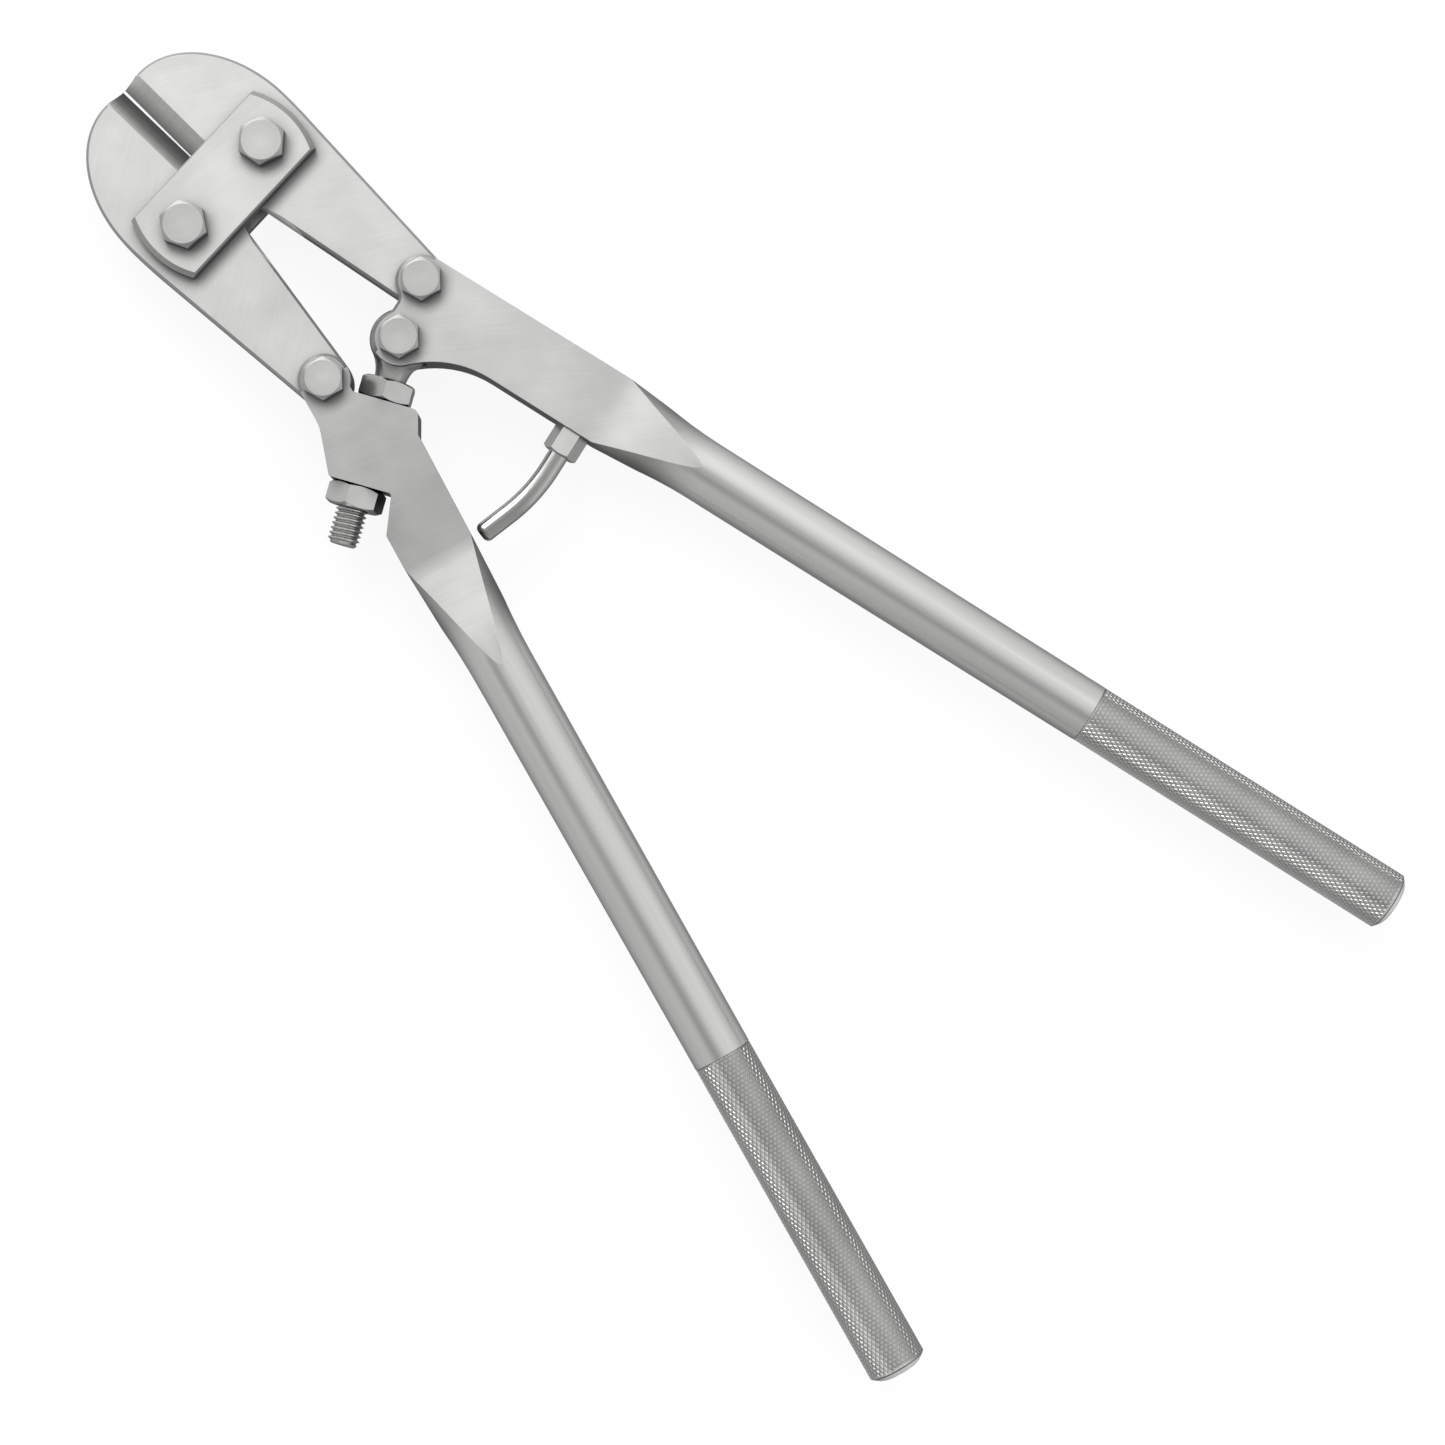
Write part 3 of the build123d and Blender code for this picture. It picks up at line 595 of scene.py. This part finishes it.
def knurl(bm, phase):
    """Diamond knurling: a truncated pyramid for each diamond between two crossing sets of helical grooves."""
    low = GRIP_RADIUS - KNURL_DEPTH
    half_turn = pi / KNURL_COUNT
    half_pitch = KNURL_PITCH / 2
    rows = int(GRIP_LENGTH / half_pitch) + 4
    corners = {}

    def corner(i, j):
        key = (i % (2 * KNURL_COUNT), j)
        if key not in corners:
            angle = key[0] * half_turn + phase
            x = KNURL_START + (j - 2) * half_pitch
            corners[key] = bm.verts.new((x, low * cos(angle), low * sin(angle)))
        return corners[key]

    reach_x = KNURL_FLAT * half_pitch
    reach_angle = KNURL_FLAT * half_turn
    for j in range(rows):
        for i in range(j % 2, 2 * KNURL_COUNT, 2):
            around = (corner(i, j), corner(i + 1, j + 1), corner(i, j + 2), corner(i - 1, j + 1))
            angle = i * half_turn + phase
            x = KNURL_START + (j - 1) * half_pitch
            tops = []
            for dx, da in ((-reach_x, 0), (0, reach_angle), (reach_x, 0), (0, -reach_angle)):
                y, z = GRIP_RADIUS * cos(angle + da), GRIP_RADIUS * sin(angle + da)
                tops.append(bm.verts.new((x + dx, y, z)))
            bm.faces.new(tops)
            for k in range(4):
                m = (k + 1) % 4
                bm.faces.new((around[k], around[m], tops[m], tops[k]))
    trim(bm, (KNURL_START, 0, 0), (-1, 0, 0))
    trim(bm, (KNURL_END, 0, 0), (1, 0, 0))


def add_grip(side, material, phase):
    bm = bmesh.new()
    knurl(bm, phase)
    core = [(x * MM, GRIP_RADIUS - drop * MM) for x, drop in GRIP_CORE]
    lathe(bm, [(0, 0)] + core + [(GRIP_LENGTH, 0)], CORE_STEPS)
    bmesh.ops.recalc_face_normals(bm, faces=bm.faces[:])
    mount = mounts[side + "_grip_sleeve"]
    direction = Vector(mount["axis"])
    to_middle = (GRIP_FRONT_CHAMFER + GRIP_LENGTH - GRIP_END_CHAMFER) / 2
    bm.transform(axis_matrix(Vector(mount["pos_m"]) - direction * to_middle, direction))
    grip = mesh_object(side + "_grip_knurled", bm, material)
    stand_in(grip, side + "_grip", side + "_handle")


# ---------------------------------------------------------------- adjusting screw
THREAD_TONE, THREAD_ROUGH = 0.92, 0.26
# painted shade in the thread's grooves
THREAD_CREST, THREAD_GROOVE_SHADE = 1.0, 0.5
THREAD_RADIUS = 3.99 * MM
THREAD_ROOT = 3.24 * MM
THREAD_PITCH = 1.25 * MM
THREAD_PROFILE = ((0.0, THREAD_RADIUS), (0.13, THREAD_RADIUS), (0.45, THREAD_ROOT), (0.68, THREAD_ROOT))
THREAD_STEPS = 64
THREAD_START = 30.0 * MM                # from the link bolt, as the two below; this one is inside the block
SHANK_CUT = 31.0 * MM
SCREW_END = 53.13 * MM
SCREW_CHAMFER = 1.0 * MM
SCREW_TIP = 0.3 * MM                    # the least radius, beyond the chamfer
EVERYWHERE = 1.0


def thread_steel():
    crests = [(-1.0, THREAD_CREST), (1.0, THREAD_CREST)]
    grooves = [(-1.0, THREAD_GROOVE_SHADE), (1.0, THREAD_GROOVE_SHADE)]
    return ridged_steel("screw_thread_bright", THREAD_TONE, THREAD_ROUGH, SCREW_MIDDLE, SCREW_AXIS,
                        THREAD_ROOT, THREAD_RADIUS, EVERYWHERE, crests, grooves)


def add_thread(material):
    """The screw's free end with its thread as one closed helical relief."""
    bm = bmesh.new()
    rows = []
    turns = int((SCREW_END - THREAD_START) / THREAD_PITCH) + 4
    for k in range(turns * len(THREAD_PROFILE)):
        share, radius = THREAD_PROFILE[k % len(THREAD_PROFILE)]
        row = []
        for step in range(THREAD_STEPS):
            angle = 2 * pi * step / THREAD_STEPS
            x = THREAD_START + THREAD_PITCH * (k // len(THREAD_PROFILE) - 2 + share + step / THREAD_STEPS)
            r = min(radius, max(THREAD_RADIUS - SCREW_CHAMFER + SCREW_END - x, SCREW_TIP))
            row.append(bm.verts.new((x, r * cos(angle), r * sin(angle))))
        rows.append(row)
    for k in range(len(rows) - 1):
        for step in range(THREAD_STEPS):
            if step < THREAD_STEPS - 1:
                corners = (rows[k][step], rows[k][step + 1], rows[k + 1][step + 1], rows[k + 1][step])
            elif k + 1 + len(THREAD_PROFILE) < len(rows):
                after = k + len(THREAD_PROFILE)
                corners = (rows[k][step], rows[after][0], rows[after + 1][0], rows[k + 1][step])
            else:
                continue
            bm.faces.new(corners)
    trim(bm, (THREAD_START, 0, 0), (-1, 0, 0))
    trim(bm, (SCREW_END, 0, 0), (1, 0, 0))
    bmesh.ops.recalc_face_normals(bm, faces=bm.faces[:])
    bm.transform(axis_matrix((LINK_PIVOT[0], LINK_PIVOT[1], SCREW_MIDDLE[2]), SCREW_AXIS))
    thread = mesh_object("adjusting_screw_thread", bm, material, smooth=True)
    thread.data.set_sharp_from_angle(angle=radians(20))
    stand_in(thread, "adjusting_eye_bolt", "lower_handle")


def add_shank(material):
    """The eye, the neck and the hidden part of the screw, taken from the part's own shape."""
    bm = bmesh.new()
    bm.from_mesh(nodes["adjusting_eye_bolt"].data)
    bmesh.ops.remove_doubles(bm, verts=bm.verts[:], dist=0.001 * MM)
    trim(bm, Vector(LINK_PIVOT) + Vector(SCREW_AXIS) * SHANK_CUT, SCREW_AXIS)
    bmesh.ops.recalc_face_normals(bm, faces=bm.faces[:])
    shank = mesh_object("adjusting_screw_eye", bm, material, smooth=True)
    shank.data.set_sharp_from_angle(angle=radians(25))
    stand_in(shank, "adjusting_eye_bolt", "lower_handle")


# ---------------------------------------------------------------- floor
FLOOR_SIZE = 3.0
FLOOR_DROP = 0.2 * MM
FLOOR_GREYS = (0.18, 0.20)
FLOOR_GLOW = 0.88


def add_floor():
    material, tree = new_tree("floor_pale")
    n = Nodes(tree)
    speck = n.put("ShaderNodeMix", data_type="RGBA")
    n.link(n.noise(n.position(), 30.0, 3.0, 0.5), speck.inputs["Factor"])
    speck.inputs[6].default_value = grey(FLOOR_GREYS[0])
    speck.inputs[7].default_value = grey(FLOOR_GREYS[1])
    diffuse = n.put("ShaderNodeBsdfDiffuse")
    n.link(speck.outputs[2], diffuse.inputs["Color"])
    glow = n.put("ShaderNodeEmission")
    glow.inputs["Color"].default_value = grey(1.0)
    glow.inputs["Strength"].default_value = FLOOR_GLOW
    both = n.put("ShaderNodeAddShader")
    n.link(diffuse.outputs[0], both.inputs[0])
    n.link(glow.outputs[0], both.inputs[1])
    output = n.put("ShaderNodeOutputMaterial")
    n.link(both.outputs[0], output.inputs["Surface"])
    bm = bmesh.new()
    bmesh.ops.create_grid(bm, x_segments=1, y_segments=1, size=FLOOR_SIZE)
    floor = mesh_object("floor", bm, material)
    floor.location = (0, 0, -FLOOR_DROP)
    floor.visible_glossy = False


# ---------------------------------------------------------------- build
def make_finishes():
    """The finish of each node of the part."""
    strap = steel("strap_satin", 0.83, 0.46, radians(80))
    nut = steel("nut_polished", 0.77, 0.22, radians(40), edge=0.1, rim_shaded=False)
    finishes = {
        "upper_jaw": jaw_steel("upper_jaw_satin", 0.84, radians(60), UPPER_BEVEL_SHADE),
        "lower_jaw": jaw_steel("lower_jaw_satin", 0.82, radians(120), LOWER_BEVEL_SHADE),
        "upper_handle": handle_steel("upper_handle_satin", 0.46, 0.26, radians(50), "upper_grip_sleeve",
                                     UPPER_LIGHT_ALONG),
        "lower_handle": handle_steel("lower_handle_satin", 0.40, 0.28, radians(68.5), "lower_grip_sleeve",
                                     LOWER_LIGHT_ALONG),
        "adjusting_eye_bolt": steel("screw_eye_satin", 0.80, 0.34, turn_of(SCREW_AXIS), rim_shaded=False),
        "stop_pin": pin_steel(),
        "upper_grip": grip_steel("upper_grip_knurl", "upper_grip_sleeve"),
        "lower_grip": grip_steel("lower_grip_knurl", "lower_grip_sleeve"),
    }
    for node in nodes:
        if node.endswith("strap"):
            finishes[node] = strap
        elif node.endswith("nut"):
            finishes[node] = nut
        elif node not in finishes:
            finishes[node] = bolt_steel(node)
    return finishes


def main():
    bpy.context.scene.view_settings.view_transform = "Standard"
    add_camera()
    add_dome()
    add_key()
    add_floor()
    finishes = make_finishes()
    for node, finish in finishes.items():
        for slot in nodes[node].material_slots:
            slot.material = finish
    add_shank(finishes["adjusting_eye_bolt"])
    add_thread(thread_steel())
    add_grip("upper", finishes["upper_grip"], 0.0)
    add_grip("lower", finishes["lower_grip"], LOWER_KNURL_PHASE)


main()
